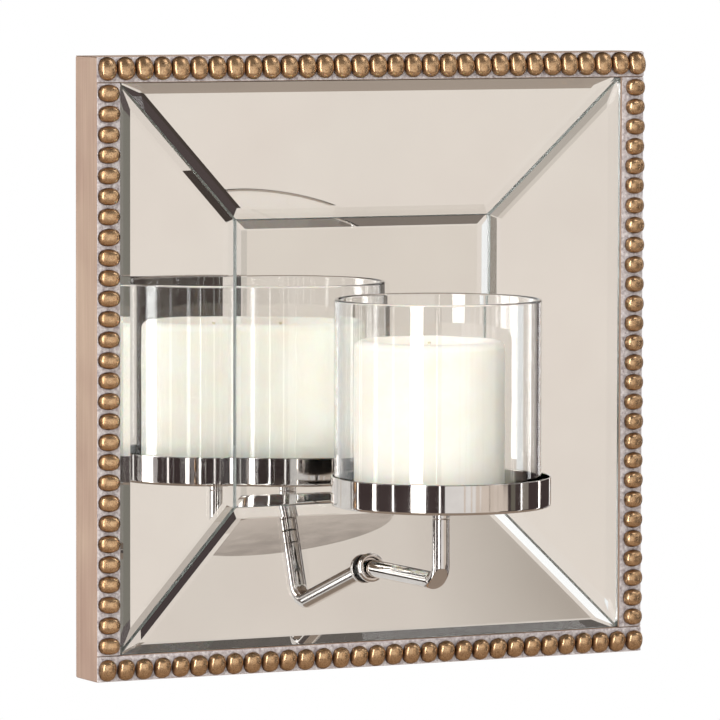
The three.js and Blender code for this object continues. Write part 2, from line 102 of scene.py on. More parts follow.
def finished(obj, name, look, body, nodes, smooth=40, weigh=True):
    """Names a piece, bakes its place into its mesh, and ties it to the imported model.

    Normals are weighed by area, so that a long wall shades true right up to its rounded edge."""
    bpy.ops.object.select_all(action="DESELECT")
    obj.select_set(True)
    bpy.context.view_layer.objects.active = obj
    bpy.ops.object.transform_apply(location=True, rotation=True, scale=True)
    bpy.ops.object.shade_smooth_by_angle(angle=math.radians(smooth))
    if weigh:
        modified(obj, "WEIGHTED_NORMAL", mode="FACE_AREA", weight=50, keep_sharp=True)
    obj.name = obj.data.name = name
    if look is not None:
        obj.data.materials.clear()
        obj.data.materials.append(look)
    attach(obj, body)
    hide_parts(*nodes)


def arc(centre, radius, start, end, steps):
    """Points on an arc of a profile, angles in degrees."""
    turns = [math.radians(start + (end - start) * i / steps) for i in range(steps + 1)]
    return [(centre[0] + radius * math.cos(t), centre[1] + radius * math.sin(t)) for t in turns]


def turned(profile, foot, steps):
    """A profile of (radius, height) points in mm, drawn by extruding a vertex and spun round an upright axis.

    foot is the point on the axis at height nought, in metres."""
    places = [foot + Vector((r * MM, 0, h * MM)) for r, h in profile]
    bpy.ops.mesh.primitive_plane_add(size=MM, location=places[0])
    obj = bpy.context.object
    edit(obj)
    bpy.ops.mesh.merge(type="CENTER")
    for before, after in zip(places, places[1:]):
        bpy.ops.mesh.extrude_region_move(TRANSFORM_OT_translate={"value": after - before})
    bpy.ops.mesh.select_all(action="SELECT")
    bpy.ops.mesh.spin(steps=steps, angle=2 * math.pi, center=foot, axis=(0, 0, 1))
    bpy.ops.mesh.select_all(action="SELECT")
    bpy.ops.mesh.remove_doubles(threshold=WELD)
    bpy.ops.mesh.normals_make_consistent(inside=False)
    bpy.ops.object.mode_set(mode="OBJECT")
    return obj


def modified(obj, kind, **settings):
    """Adds a modifier to a piece and applies it."""
    made = obj.modifiers.new(kind, kind)
    for name, value in settings.items():
        setattr(made, name, value)
    bpy.ops.object.select_all(action="DESELECT")
    bpy.context.view_layer.objects.active = obj
    obj.select_set(True)
    bpy.ops.object.modifier_apply(modifier=made.name)


FLAT, EDGE_ANGLE = math.radians(0.5), math.radians(30)


def eased_copy(node, width, segments=2):
    """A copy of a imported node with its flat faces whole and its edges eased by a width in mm."""
    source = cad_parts[node]
    obj = source.copy()
    obj.data = source.data.copy()
    obj.parent = None
    for key in list(obj.keys()):
        del obj[key]
    bpy.context.scene.collection.objects.link(obj)
    edit(obj)
    bpy.ops.mesh.remove_doubles(threshold=FINE_WELD)
    bpy.ops.mesh.dissolve_limited(angle_limit=FLAT)
    bpy.ops.object.mode_set(mode="OBJECT")
    if width:
        modified(obj, "BEVEL", width=width * MM, segments=segments, limit_method="ANGLE",
                 angle_limit=EDGE_ANGLE, use_clamp_overlap=True)
    return obj


def middle(node):
    """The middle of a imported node's box."""
    low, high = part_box(node)
    return (Vector(low) + Vector(high)) / 2


def stance(node):
    """For a round upright node: the point on its axis at height nought, and its lowest and highest mm."""
    low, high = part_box(node)
    foot = middle(node)
    foot.z = 0
    return foot, low.z / MM, high.z / MM


def joined(parts):
    """Several objects made one, with their places baked in."""
    bpy.ops.object.select_all(action="DESELECT")
    for part in parts:
        part.select_set(True)
    bpy.context.view_layer.objects.active = parts[0]
    bpy.ops.object.transform_apply(location=True, rotation=True, scale=True)
    bpy.ops.object.join()
    return bpy.context.object


# ---- camera ----
# A long lens three metres off, to the left of the sconce and a little above it.
VIEW_AZIMUTH, VIEW_ELEVATION = math.radians(-27.28), math.radians(4.08)
VIEW_DISTANCE, VIEW_ROLL, LENS, FILM, FAR = 3.1888, math.radians(0.138), 318.7, 36, 50
AIM = Vector((0.00395, 0, -0.00105))


def add_camera():
    """A long lens, aimed at a point near the middle of the mirror."""
    lens = bpy.data.cameras.new("camera")
    lens.lens, lens.sensor_width, lens.clip_end = LENS, FILM, FAR
    camera = bpy.data.objects.new("camera", lens)
    back = Vector((math.sin(VIEW_AZIMUTH) * math.cos(VIEW_ELEVATION),
                   -math.cos(VIEW_AZIMUTH) * math.cos(VIEW_ELEVATION), math.sin(VIEW_ELEVATION)))
    turn = (-back).to_track_quat("-Z", "Y").to_matrix() @ Matrix.Rotation(VIEW_ROLL, 3, "Z")
    camera.matrix_world = Matrix.Translation(AIM + back * VIEW_DISTANCE) @ turn.to_4x4()
    bpy.context.scene.collection.objects.link(camera)
    bpy.context.scene.camera = camera


add_camera()


# ---- materials ----
def champagne_paint(name, along):
    """Champagne metallic paint brushed along a wooden rail: satin, with fine lengthwise streaks."""
    made, tree, output = blank(name)
    place = put(tree, "TexCoord").outputs["Object"]
    streak_mm, length_mm = 1.6, 70.0
    scales = [1 / (streak_mm * MM)] * 3
    scales["xyz".index(along)] = 1 / (length_mm * MM)
    stretched = put(tree, "Mapping", {"Vector": place, "Scale": scales}).outputs["Vector"]
    streaks = put(tree, "TexNoise", {"Vector": stretched, "Scale": 1.0, "Detail": 4.0, "Roughness": 0.6})
    clouds = put(tree, "TexNoise", {"Vector": place, "Scale": 1 / 0.06, "Detail": 2.0})
    tone = put(tree, "ValToRGB", {"Fac": streaks.outputs["Fac"]},
               stops=[(0.3, linear("AA907C")), (0.7, linear("BFA692"))])
    patch = put(tree, "ValToRGB", {"Fac": clouds.outputs["Fac"]},
                stops=[(0.35, linear("E9E0E2")), (0.65, linear("FFFFFF"))])
    colour = put(tree, "Mix", {0: 1.0, 6: tone.outputs["Color"], 7: patch.outputs["Color"]},
                 data_type="RGBA", blend_type="MULTIPLY")
    rough = put(tree, "MapRange", {"Value": streaks.outputs["Fac"], "To Min": 0.42, "To Max": 0.6})
    bump = put(tree, "Bump", {"Height": streaks.outputs["Fac"], "Strength": 0.25, "Distance": 0.06 * MM})
    paint = put(tree, "BsdfPrincipled",
                {"Base Color": colour.outputs[2], "Metallic": 0.15, "Roughness": rough.outputs["Result"],
                 "Normal": bump.outputs["Normal"]})
    show(tree, output, paint.outputs["BSDF"])
    return made


def gilt(name, ground_y):
    """Gold leaf over red-brown clay on moulded beads, rubbed bright on top and dark round the foot."""
    made, tree, output = blank(name)
    place = put(tree, "TexCoord").outputs["Object"]
    reach_mm = 5.4
    worn = put(tree, "TexNoise",
               {"Vector": place, "Scale": 1 / (2.2 * MM), "Detail": 6.0, "Roughness": 0.65})
    specks = put(tree, "TexNoise", {"Vector": place, "Scale": 1 / (0.6 * MM), "Detail": 2.0})
    height = put(tree, "SeparateXYZ", {"Vector": place}).outputs["Y"]
    foot = put(tree, "MapRange",
               {"Value": height, "From Min": ground_y, "From Max": ground_y - reach_mm * MM})
    ragged = put(tree, "Math", {0: worn.outputs["Fac"], 1: 0.5}, operation="SUBTRACT")
    spread = put(tree, "Math", {0: ragged.outputs[0], 1: 0.9, 2: foot.outputs["Result"]},
                 operation="MULTIPLY_ADD")
    leaf = put(tree, "ValToRGB", {"Fac": spread.outputs[0]},
               stops=[(0.0, linear("2A1810")), (0.22, linear("6E4C33")), (0.5, linear("BC956E")),
                      (1.0, linear("DFBB92"))])
    freckle = put(tree, "ValToRGB", {"Fac": specks.outputs["Fac"]},
                  stops=[(0.34, linear("7A5A3C")), (0.52, linear("FFFFFF"))])
    colour = put(tree, "Mix", {0: 0.45, 6: leaf.outputs["Color"], 7: freckle.outputs["Color"]},
                 data_type="RGBA", blend_type="MULTIPLY")
    rough = put(tree, "MapRange",
                {"Value": spread.outputs[0], "From Max": 0.8, "To Min": 0.46, "To Max": 0.27})
    bump = put(tree, "Bump", {"Height": worn.outputs["Fac"], "Strength": 0.3, "Distance": 0.08 * MM})
    leafed = put(tree, "BsdfPrincipled",
                 {"Base Color": colour.outputs[2], "Metallic": 0.92, "Roughness": rough.outputs["Result"],
                  "Normal": bump.outputs["Normal"]})
    show(tree, output, leafed.outputs["BSDF"])
    return made


def silver_gesso(name):
    """Thin silver wash over plaster between the beads: pale, uneven and faintly metallic."""
    made, tree, output = blank(name)
    place = put(tree, "TexCoord").outputs["Object"]
    daub = put(tree, "TexNoise",
               {"Vector": place, "Scale": 1 / (1.8 * MM), "Detail": 5.0, "Roughness": 0.7})
    tone = put(tree, "ValToRGB", {"Fac": daub.outputs["Fac"]},
               stops=[(0.3, linear("8E8081")), (0.5, linear("CFC5C3")), (0.7, linear("EFEAE8"))])
    bump = put(tree, "Bump", {"Height": daub.outputs["Fac"], "Strength": 0.8, "Distance": 0.35 * MM})
    wash = put(tree, "BsdfPrincipled", {"Base Color": tone.outputs["Color"], "Metallic": 0.3,
                                        "Roughness": 0.48, "Normal": bump.outputs["Normal"]})
    show(tree, output, wash.outputs["BSDF"])
    return made


def float_glass(name):
    """Float glass of a mirror: clear, with the faint green of soda-lime, seen twice through."""
    made, tree, output = blank(name)
    place = put(tree, "TexCoord").outputs["Object"]
    drift = put(tree, "TexNoise", {"Vector": place, "Scale": 1 / 0.08, "Detail": 1.0})
    tint = put(tree, "ValToRGB", {"Fac": drift.outputs["Fac"]},
               stops=[(0.3, linear("F8FAF9")), (0.7, linear("FAFBFA"))])
    glass = put(tree, "BsdfPrincipled", {"Base Color": tint.outputs["Color"], "Roughness": 0.0,
                                         "IOR": 1.52, "Transmission Weight": 1.0})
    show(tree, output, glass.outputs["BSDF"])
    return made


def seamed_edge(name):
    """Ground edge of float glass: pale green, frosted white by the wheel."""
    made, tree, output = blank(name)
    place = put(tree, "TexCoord").outputs["Object"]
    grind = put(tree, "TexNoise", {"Vector": place, "Scale": 1 / (0.7 * MM), "Detail": 3.0})
    tone = put(tree, "ValToRGB", {"Fac": grind.outputs["Fac"]},
               stops=[(0.3, linear("A9B8B0")), (0.7, linear("E3ECE6"))])
    edge = put(tree, "BsdfPrincipled", {"Base Color": tone.outputs["Color"], "Roughness": 0.35,
                                        "IOR": 1.52, "Transmission Weight": 0.4})
    show(tree, output, edge.outputs["BSDF"])
    return made


def silvering(name):
    """Silver deposited on the back of the glass: a near perfect mirror, a touch warm."""
    made, tree, output = blank(name)
    place = put(tree, "TexCoord").outputs["Object"]
    drift = put(tree, "TexNoise", {"Vector": place, "Scale": 1 / 0.05, "Detail": 2.0})
    tone = put(tree, "ValToRGB", {"Fac": drift.outputs["Fac"]},
               stops=[(0.3, linear("F4F3F3")), (0.7, linear("F8F8F8"))])
    coat = put(tree, "BsdfPrincipled",
               {"Base Color": tone.outputs["Color"], "Metallic": 1.0, "Roughness": 0.0})
    show(tree, output, coat.outputs["BSDF"])
    return made


def polished_chrome(name):
    """Bright chrome plate on polished steel: mirror-like, with a breath of haze from the buffing wheel."""
    made, tree, output = blank(name)
    place = put(tree, "TexCoord").outputs["Object"]
    haze = put(tree, "TexNoise", {"Vector": place, "Scale": 1 / (14 * MM), "Detail": 3.0})
    rough = put(tree, "MapRange", {"Value": haze.outputs["Fac"], "From Min": 0.3, "From Max": 0.7,
                                   "To Min": 0.04, "To Max": 0.085})
    tone = put(tree, "ValToRGB", {"Fac": haze.outputs["Fac"]},
               stops=[(0.3, linear("D0CAC5")), (0.7, linear("DAD4CF"))])
    plate = put(tree, "BsdfPrincipled", {"Base Color": tone.outputs["Color"], "Metallic": 1.0,
                                         "Roughness": rough.outputs["Result"]})
    show(tree, output, plate.outputs["BSDF"])
    return made


def clear_glass(name):
    """Drawn clear glass of the hurricane: bright and colourless. Lamps reach the candle through it."""
    made, tree, output = blank(name)
    place = put(tree, "TexCoord").outputs["Object"]
    drift = put(tree, "TexNoise", {"Vector": place, "Scale": 1 / 0.05, "Detail": 1.0})
    tint = put(tree, "ValToRGB", {"Fac": drift.outputs["Fac"]},
               stops=[(0.3, linear("FDFDFC")), (0.7, linear("FFFFFF"))])
    glass = put(tree, "BsdfPrincipled", {"Base Color": tint.outputs["Color"], "Roughness": 0.0, "IOR": 1.5,
                                         "Transmission Weight": 1.0})
    through = put(tree, "BsdfTransparent", {"Color": linear("F4F6F5")})
    path = put(tree, "LightPath")
    lit = put(tree, "Math", {0: path.outputs["Is Shadow Ray"], 1: path.outputs["Is Diffuse Ray"]},
              operation="MAXIMUM")
    mixed = put(tree, "MixShader",
                {0: lit.outputs[0], 1: glass.outputs["BSDF"], 2: through.outputs["BSDF"]})
    show(tree, output, mixed.outputs["Shader"])
    return made


def paraffin(name):
    """Ivory paraffin wax, poured and scraped: light sinks in and softens, under a satin skin."""
    made, tree, output = blank(name)
    place = put(tree, "TexCoord").outputs["Object"]
    mottle = put(tree, "TexNoise", {"Vector": place, "Scale": 1 / (16 * MM), "Detail": 4.0})
    grain = put(tree, "TexNoise", {"Vector": place, "Scale": 1 / (2.5 * MM), "Detail": 3.0})
    tone = put(tree, "ValToRGB", {"Fac": mottle.outputs["Fac"]},
               stops=[(0.3, linear("F9ECE1")), (0.7, linear("FDF4EB"))])
    bump = put(tree, "Bump", {"Height": grain.outputs["Fac"], "Strength": 0.25, "Distance": 0.12 * MM})
    wax = put(tree, "BsdfPrincipled", {"Base Color": tone.outputs["Color"], "Roughness": 0.42, "IOR": 1.44,
                                       "Subsurface Weight": 0.7, "Subsurface Radius": (1.0, 0.7, 0.5),
                                       "Subsurface Scale": 9 * MM, "Normal": bump.outputs["Normal"]})
    show(tree, output, wax.outputs["BSDF"])
    return made


def braided_cotton(name):
    """Waxed cotton braid of the wick: off-white, with a slanting plait."""
    made, tree, output = blank(name)
    place = put(tree, "TexCoord").outputs["Object"]
    plait = put(tree, "TexWave",
                {"Vector": place, "Scale": 1 / (7 * MM), "Distortion": 2.0, "Detail": 1.0},
                bands_direction="DIAGONAL")
    tone = put(tree, "ValToRGB", {"Fac": plait.outputs["Fac"]},
               stops=[(0.2, linear("CBBE9F")), (0.8, linear("F4ECDA"))])
    bump = put(tree, "Bump", {"Height": plait.outputs["Fac"], "Strength": 0.6, "Distance": 0.2 * MM})
    cotton = put(tree, "BsdfPrincipled", {"Base Color": tone.outputs["Color"], "Roughness": 0.8,
                                          "Normal": bump.outputs["Normal"]})
    show(tree, output, cotton.outputs["BSDF"])
    return made


def pressed_fibre(name, dark, light, fibre_mm, rough):
    """Pressed wood fibre: short tangled fibres and a dusty, even surface."""
    made, tree, output = blank(name)
    place = put(tree, "TexCoord").outputs["Object"]
    fibre = put(tree, "TexNoise", {"Vector": place, "Scale": 1 / (fibre_mm * MM), "Detail": 8.0,
                                   "Roughness": 0.75, "Distortion": 1.2})
    cloud = put(tree, "TexNoise", {"Vector": place, "Scale": 1 / 0.04, "Detail": 2.0})
    both = put(tree, "Math", {0: fibre.outputs["Fac"], 1: cloud.outputs["Fac"]}, operation="ADD")
    mean = put(tree, "Math", {0: both.outputs[0], 1: 0.5}, operation="MULTIPLY")
    tone = put(tree, "ValToRGB", {"Fac": mean.outputs[0]},
               stops=[(0.35, linear(dark)), (0.62, linear(light))])
    bump = put(tree, "Bump", {"Height": fibre.outputs["Fac"], "Strength": 0.4, "Distance": 0.1 * MM})
    board = put(tree, "BsdfPrincipled", {"Base Color": tone.outputs["Color"], "Roughness": rough,
                                         "Normal": bump.outputs["Normal"]})
    show(tree, output, board.outputs["BSDF"])
    return made


def zinc_plate(name):
    """Bright zinc plate on pressed steel: bluish grey, with dull patches and fine wear."""
    made, tree, output = blank(name)
    place = put(tree, "TexCoord").outputs["Object"]
    patch = put(tree, "TexNoise", {"Vector": place, "Scale": 1 / (3 * MM), "Detail": 5.0, "Roughness": 0.6})
    tone = put(tree, "ValToRGB", {"Fac": patch.outputs["Fac"]},
               stops=[(0.3, linear("A3A8AB")), (0.7, linear("C9CCCC"))])
    rough = put(tree, "MapRange", {"Value": patch.outputs["Fac"], "To Min": 0.22, "To Max": 0.5})
    plate = put(tree, "BsdfPrincipled", {"Base Color": tone.outputs["Color"], "Metallic": 1.0,
                                         "Roughness": rough.outputs["Result"]})
    show(tree, output, plate.outputs["BSDF"])
    return made


GROUND_Y = -24.8 * MM
RAIL_PAINT = {"x": champagne_paint("champagne_paint_level", "x"),
              "z": champagne_paint("champagne_paint_upright", "z")}
GILT = gilt("antiqued_gold_leaf", GROUND_Y)
GESSO = silver_gesso("silver_washed_gesso")
GLASS = float_glass("float_glass")
EDGE = seamed_edge("seamed_glass_edge")
SILVER = silvering("mirror_silver")
CHROME = polished_chrome("polished_chrome")
CLEAR = clear_glass("drawn_clear_glass")
WAX = paraffin("ivory_paraffin")
COTTON = braided_cotton("braided_cotton")
HARDBOARD = pressed_fibre("tempered_hardboard", "4A3220", "7A5638", 1.6, 0.55)
FIBREBOARD = pressed_fibre("sawn_fibreboard", "8A6B4A", "B39470", 0.9, 0.85)
ZINC = zinc_plate("zinc_plated_steel")


# ---- rails of the frame ----
RAIL_EASE = 0.5
for side in SIDES:
    along = "x" if side in LEVEL_SIDES else "z"
    rail = eased_copy("frame_rail_" + side, RAIL_EASE)
    finished(rail, "rail_" + side, RAIL_PAINT[along], "frame", ["frame_rail_" + side])


# ---- beads on their ground ----
# A bead's size is along its row, front to back and across. Each row has its number of beads, their stretch
# along and across, and the turn that makes them lean outwards.
BEAD_SIZE, BEAD_SINK, BEAD_LEAN, ROUNDNESS = (9.3, 7.2, 11.2), 3.0, math.radians(15), 0.84
BEAD_RAISE, BEAD_SHIFT, BEAD_STRAY, BEAD_TWIST = 1.3 * MM, 0.55 * MM, 0.12, 5
BEAD_ROWS = {"top": (31, (1.05, 1.08), 0), "right": (28, (0.935, 1.0), 90),
             "bottom": (31, (1.0, 0.98), 180), "left": (28, (0.935, 1.0), -90)}
GROUND_BACK_Y, GROUND_EASE = -24.0 * MM, 0.25 * MM
chance = random.Random(7)


def one_bead():
    """A moulded bead, a full oval that leans outwards, cut off where it sinks in the strip."""
    bpy.ops.mesh.primitive_cube_add(size=2)
    bead = bpy.context.object
    edit(bead)
    bpy.ops.mesh.subdivide(number_cuts=5)
    bpy.ops.transform.tosphere(value=ROUNDNESS)
    bpy.ops.object.mode_set(mode="OBJECT")
    reach = max(v.co.x for v in bead.data.vertices)
    edit(bead)
    bpy.ops.transform.resize(value=[size / 2 * MM / reach for size in BEAD_SIZE])
    bpy.ops.transform.rotate(value=BEAD_LEAN, orient_axis="X", center_override=(0, 0, 0))
    bpy.ops.mesh.bisect(plane_co=(0, BEAD_SINK * MM, 0), plane_no=(0, 1, 0), clear_outer=True)
    bpy.ops.object.mode_set(mode="OBJECT")
    return bead


def ground_strip(side):
    """The thin plaster strip under a row of beads."""
    low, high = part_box("bead_row_" + side)
    centre = (low + high) / 2
    bpy.ops.mesh.primitive_cube_add(size=1, location=(centre.x, (GROUND_BACK_Y + GROUND_Y) / 2, centre.z))
    strip = bpy.context.object
    strip.dimensions = (high.x - low.x, GROUND_BACK_Y - GROUND_Y, high.z - low.z)
    bpy.ops.object.transform_apply(location=True, rotation=False, scale=True)
    edit(strip)
    bpy.ops.mesh.bevel(offset=GROUND_EASE, segments=2, affect="EDGES")
    bpy.ops.object.mode_set(mode="OBJECT")
    return strip


def bead_row(side, pattern):
    """Copies of one bead set in a row, each a little off in place, turn and size, as if set by hand."""
    low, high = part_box("bead_row_" + side)
    level = side in LEVEL_SIDES
    start, end = (low.x, high.x) if level else (low.z, high.z)
    cross = (low.z + high.z) / 2 if level else (low.x + high.x) / 2
    cross += BEAD_SHIFT if side in ("top", "right") else -BEAD_SHIFT
    count, (along, across), quarter = BEAD_ROWS[side]
    y = GROUND_Y - BEAD_RAISE
    row = []
    for i in range(count):
        bead = pattern.copy()
        bead.data = pattern.data.copy()
        bpy.context.scene.collection.objects.link(bead)
        on = start + (end - start) / count * (i + 0.5) + chance.uniform(-BEAD_STRAY, BEAD_STRAY) * MM
        off = cross + chance.uniform(-BEAD_STRAY, BEAD_STRAY) * MM
        bead.location = (on, y, off) if level else (off, y, on)
        bead.rotation_euler = (0, math.radians(quarter + chance.uniform(-BEAD_TWIST, BEAD_TWIST)), 0)
        bead.scale = [along * chance.uniform(0.965, 1.02), chance.uniform(0.95, 1.02),
                      across * chance.uniform(0.975, 1.015)]
        row.append(bead)
    return joined(row)


pattern_bead = one_bead()
for side in SIDES:
    finished(bead_row(side, pattern_bead), "beads_" + side, GILT, "frame", ["bead_row_" + side],
             smooth=80, weigh=False)
    finished(ground_strip(side), "bead_ground_" + side, GESSO, "frame", ["bead_row_" + side])
bpy.data.objects.remove(pattern_bead)


# ---- mirrors: clear glass with silver on the back ----
# Faces that look forwards, bevels too, are clear glass, and faces that look back are silver. FACING is the
# cosine of the widest angle that still counts.
SLOPE, FACING = math.radians(9.45), 0.9
FRONTS = {"centre": Vector((0, -1, 0)),
          "top": Vector((0, -math.cos(SLOPE), -math.sin(SLOPE))),
          "right": Vector((-math.sin(SLOPE), -math.cos(SLOPE), 0)),
          "bottom": Vector((0, -math.cos(SLOPE), math.sin(SLOPE))),
          "left": Vector((math.sin(SLOPE), -math.cos(SLOPE), 0))}
for side, front in FRONTS.items():
    mirror = eased_copy("mirror_" + side, 0)
    mirror.data.materials.clear()
    for look in (GLASS, SILVER, EDGE):
        mirror.data.materials.append(look)
    for face in mirror.data.polygons:
        facing = face.normal.dot(front)
        face.material_index = 0 if facing > FACING else 1 if facing < -FACING else 2
    finished(mirror, "mirror_glass_" + side, None, "frame", ["mirror_" + side], smooth=3)


# ---- arm: a rod that runs level from the mirror and turns up under the dish ----
ROD, STUD, SPIGOT, CHAMFER = 4.35, 3.0, 2.4, 0.35
ARM_LEVEL, ARM_BEND, ROD_BACK, ROD_TOP = -103.5, 9.0, -20.6, -72.4


def next_ring(move=(0, 0, 0), size=1.0):
    """Extrudes the chosen loop along a move in mm and scales it about its middle."""
    bpy.ops.mesh.extrude_region_move(TRANSFORM_OT_translate={"value": Vector(move) * MM})
    if size != 1.0:
        bpy.ops.transform.resize(value=(size, size, size))


def arm_rod():
    """Stud behind the mirror, level rod, round bend, upright and the thin spigot under the dish."""
    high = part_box("arm")[1]
    stud_back, spigot_top = high.y / MM, high.z / MM
    axis_y = middle("dish_coupling").y / MM
    bend_y, bend_z = axis_y + ARM_BEND, ARM_LEVEL + ARM_BEND
    bpy.ops.mesh.primitive_circle_add(vertices=48, radius=STUD * MM, fill_type="NGON",
                                      location=(0, stud_back * MM, ARM_LEVEL * MM),
                                      rotation=(math.pi / 2, 0, 0))
    rod = bpy.context.object
    bpy.ops.object.transform_apply(location=True, rotation=True, scale=True)
    edit(rod)
    next_ring((0, ROD_BACK - stud_back, 0))
    next_ring(size=(ROD - CHAMFER) / STUD)
    next_ring((0, -CHAMFER, 0), ROD / (ROD - CHAMFER))
    next_ring((0, bend_y - (ROD_BACK - CHAMFER), 0))
    bpy.ops.mesh.spin(steps=18, angle=math.pi / 2, center=(0, bend_y * MM, bend_z * MM), axis=(1, 0, 0))
    next_ring((0, 0, ROD_TOP - CHAMFER - bend_z))
    next_ring((0, 0, CHAMFER), (ROD - CHAMFER) / ROD)
    next_ring(size=SPIGOT / (ROD - CHAMFER))
    next_ring((0, 0, spigot_top - ROD_TOP - CHAMFER))
    next_ring((0, 0, CHAMFER), (SPIGOT - CHAMFER) / SPIGOT)
    bpy.ops.mesh.select_all(action="SELECT")
    bpy.ops.mesh.remove_doubles(threshold=FINE_WELD)
    bpy.ops.mesh.normals_make_consistent(inside=False)
    bpy.ops.object.mode_set(mode="OBJECT")
    return rod


ESCUTCHEON_EASE, COUPLING_EASE = 0.45, 0.3
finished(arm_rod(), "arm_rod", CHROME, "frame", ["arm"], smooth=30)
finished(eased_copy("arm_escutcheon", ESCUTCHEON_EASE, segments=3), "escutcheon", CHROME, "frame",
         ["arm_escutcheon"])
finished(eased_copy("dish_coupling", COUPLING_EASE), "coupling_sleeve", CHROME, "dish",
         ["dish_coupling"])


# ---- dish ----
DISH, WALL, FLOOR, SCREW_HOLE, SCREW_SEAT = 53.8, 0.9, 1.5, 2.2, 4.5
OUTER_CORNER, INNER_CORNER = 1.6, 1.2


def pressed_dish():
    """A round pan with an upright wall, rounded corners and lip, and the screw's hole in its floor."""
    foot, bottom, rim = stance("candle_dish")
    inner, floor, lip = DISH - WALL, bottom + FLOOR, WALL / 2
    profile = [(SCREW_HOLE, bottom)]
    profile += arc((DISH - OUTER_CORNER, bottom + OUTER_CORNER), OUTER_CORNER, -90, 0, 6)
    profile += arc((DISH - lip, rim - lip), lip, 0, 180, 8)
    profile += arc((inner - INNER_CORNER, floor + INNER_CORNER), INNER_CORNER, 0, -90, 5)
    profile += [(SCREW_SEAT, floor), (SCREW_HOLE, floor), (SCREW_HOLE, bottom)]
    return turned(profile, foot, steps=128)


finished(pressed_dish(), "dish_pan", CHROME, "dish", ["candle_dish"], smooth=30)


# ---- hurricane glass ----
GLASS_R, GLASS_WALL, GLASS_SEAM = 50.6, 2.2, 0.35


def hurricane():
    """An open tube with a fire-polished rim and a foot that is only just eased."""
    foot, base, rim = stance("hurricane_glass")
    inner, polish = GLASS_R - GLASS_WALL, GLASS_WALL / 2
    profile = arc((GLASS_R - GLASS_SEAM, base + GLASS_SEAM), GLASS_SEAM, -90, 0, 3)
    profile += arc((GLASS_R - polish, rim - polish), polish, 0, 180, 10)
    profile += arc((inner + GLASS_SEAM, base + GLASS_SEAM), GLASS_SEAM, 180, 270, 3)
    profile.append(profile[0])
    return turned(profile, foot, steps=128)


finished(hurricane(), "hurricane_tube", CLEAR, "glass", ["hurricane_glass"], smooth=50)


# ---- candle and wick ----
CANDLE_R, HEEL, SHOULDER, LIP, HOLLOW, WICK_HOLE = 36.85, 1.0, 4.0, 3.0, 5.0, 1.1
LIP_TO_HOLLOW = [(0, 0.25), (2.2, 1.7), (5, 3.9), (9, HOLLOW)]
WALL_RINGS, WANDER, WANDER_SIZE = 24, 0.9 * MM, 0.03


def pillar():
    """A poured pillar: eased heel, round shoulder, a lip and a shallow hollow round the wick's hole.

    Its wall has rings of points, so that it can wander slightly from a true round."""
    foot, base, rim = stance("pillar_candle")
    crest = CANDLE_R - SHOULDER - LIP / 2
    rise = rim - SHOULDER - (base + HEEL)
    profile = [(WICK_HOLE, base)]
    profile += arc((CANDLE_R - HEEL, base + HEEL), HEEL, -90, 0, 3)
    profile += [(CANDLE_R, base + HEEL + rise * i / WALL_RINGS) for i in range(1, WALL_RINGS)]
    profile += arc((CANDLE_R - SHOULDER, rim - SHOULDER), SHOULDER, 0, 80, 7)
    profile += [(crest, rim)]
    profile += [(crest - LIP / 2 - inward, rim - down) for inward, down in LIP_TO_HOLLOW]
    profile += [(6, rim - HOLLOW - 0.1), (WICK_HOLE, rim - HOLLOW + 0.5), (WICK_HOLE, base)]
    candle = turned(profile, foot, steps=96)
    wander = bpy.data.textures.new("wax_wander", "CLOUDS")
    wander.noise_scale, wander.noise_depth = WANDER_SIZE, 2
    modified(candle, "DISPLACE", texture=wander, texture_coords="GLOBAL", strength=WANDER, mid_level=0.5)
    return candle


STRANDS, STRAND_R, STRAND_OUT, TWISTS, TWIST = 3, 0.42 * MM, 0.4 * MM, 90, math.radians(28)


def wick():
    """Twisted strands, as a braid seen from near."""
    low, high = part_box("candle_wick")
    foot = (low + high) / 2
    foot.z = low.z
    rise = {"value": (0, 0, (high.z - low.z) / TWISTS)}
    strands = []
    for k in range(STRANDS):
        turn = 2 * math.pi * k / STRANDS
        out = Vector((math.cos(turn), math.sin(turn), 0)) * STRAND_OUT
        bpy.ops.mesh.primitive_circle_add(vertices=10, radius=STRAND_R, fill_type="NGON",
                                          location=foot + out)
        strand = bpy.context.object
        bpy.ops.object.transform_apply(location=True, rotation=True, scale=True)
        edit(strand)
        for _ in range(TWISTS):
            bpy.ops.mesh.extrude_region_move(TRANSFORM_OT_translate=rise)
            bpy.ops.transform.rotate(value=TWIST, orient_axis="Z", center_override=foot)
        bpy.ops.mesh.select_all(action="SELECT")
        bpy.ops.mesh.normals_make_consistent(inside=False)
        bpy.ops.object.mode_set(mode="OBJECT")
        strands.append(strand)
    return joined(strands)


finished(pillar(), "candle_pillar", WAX, "candle", ["pillar_candle"], smooth=50)
finished(wick(), "wick_braid", COTTON, "candle", ["candle_wick"])


# ---- back of the sconce ----
BOARD_EASE, HARDWARE_EASE, FINE_EASE = 0.3, 0.25, 0.12
finished(eased_copy("back_board", BOARD_EASE), "board", HARDBOARD, "frame", ["back_board"])
for side in SIDES:
    finished(eased_copy("mirror_wedge_" + side, BOARD_EASE), "wedge_" + side, FIBREBOARD, "frame",
             ["mirror_wedge_" + side])

HARDWARE = ("corner_nail", "wedge_screw", "glazing_point", "arm_nut", "arm_washer", "dish_screw",
            "hanger_")
BODIES = {"dish_screw": "dish", "hanger_ring_right": "hanger_loop_right",
          "hanger_ring_left": "hanger_loop_left"}
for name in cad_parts:
    if name.startswith(HARDWARE):
        ease = FINE_EASE if "screw" in name or "glazing" in name else HARDWARE_EASE
        finished(eased_copy(name, ease), name.replace("hanger", "hang") + "_zinc", ZINC,
                 BODIES.get(name, "frame"), [name])


